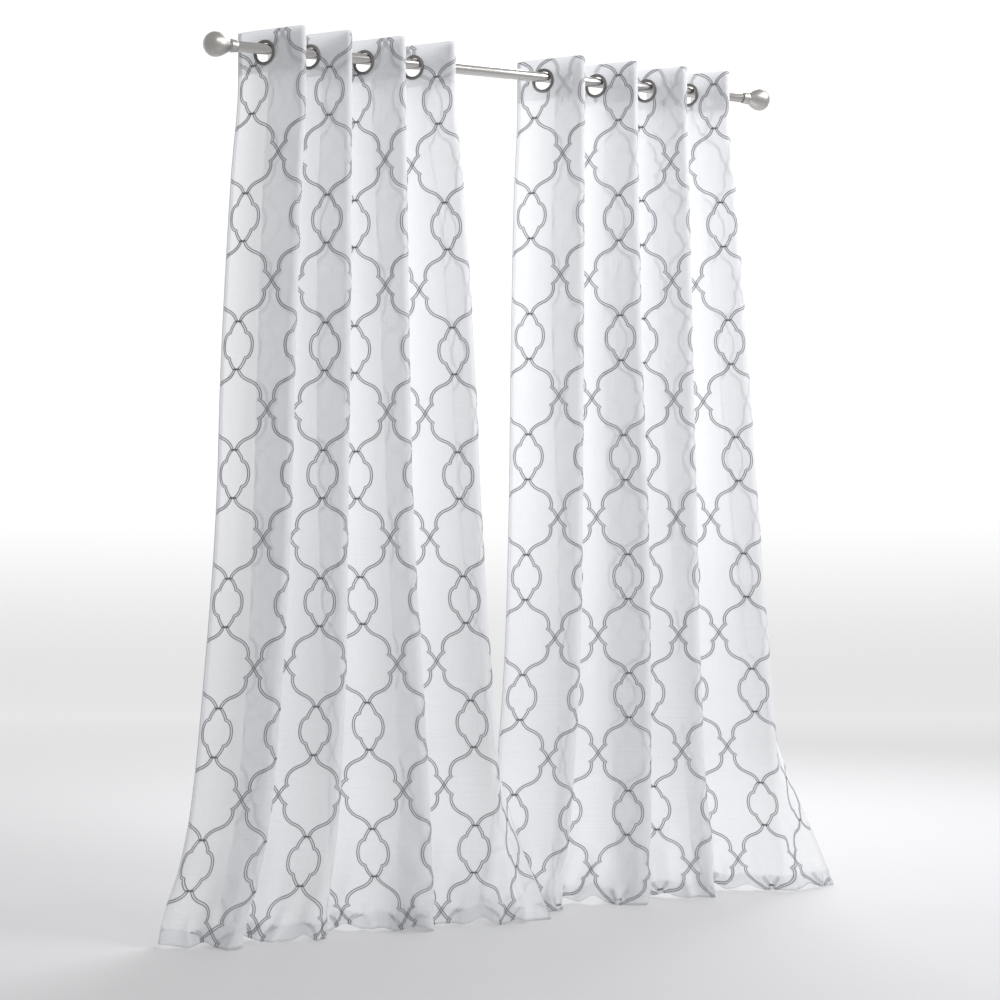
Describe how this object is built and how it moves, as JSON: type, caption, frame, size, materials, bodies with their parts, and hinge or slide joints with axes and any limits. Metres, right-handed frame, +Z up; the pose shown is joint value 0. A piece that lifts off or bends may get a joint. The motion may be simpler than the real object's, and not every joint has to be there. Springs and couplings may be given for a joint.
{
  "type": "sheer eyelet curtains on a ball-finial curtain rod",
  "caption": "Sheer white voile curtains with an embroidered trellis, hung in deep folds by metal eyelets on a plain rod with ball finials, flaring out to the floor.",
  "frame": {"origin": "on the rod's axis, at the middle of its length", "axes": "+X along the rod, to the right as seen from the room; +Y towards the wall; +Z up"},
  "size_m": [1.8297, 0.2197, 2.1],
  "materials": {
    "voile": "sheer plain-weave voile",
    "heading_cloth": "turned-over double voile",
    "eyelet_metal": "gunmetal plate",
    "rod_metal": "satin nickel",
    "finial_metal": "satin nickel"
  },
  "bodies": {
    "root": {"panel_left": "voile", "panel_right": "voile", "heading_left": "heading_cloth", "heading_right": "heading_cloth", "eyelet_left_1": "eyelet_metal", "eyelet_left_2": "eyelet_metal", "eyelet_left_3": "eyelet_metal", "eyelet_left_4": "eyelet_metal", "eyelet_left_5": "eyelet_metal", "eyelet_left_6": "eyelet_metal", "eyelet_left_7": "eyelet_metal", "eyelet_left_8": "eyelet_metal", "eyelet_right_1": "eyelet_metal", "eyelet_right_2": "eyelet_metal", "eyelet_right_3": "eyelet_metal", "eyelet_right_4": "eyelet_metal", "eyelet_right_5": "eyelet_metal", "eyelet_right_6": "eyelet_metal", "eyelet_right_7": "eyelet_metal", "eyelet_right_8": "eyelet_metal", "rod": "rod_metal", "finial_left": "finial_metal", "finial_right": "finial_metal"}
  },
  "joints": []
}
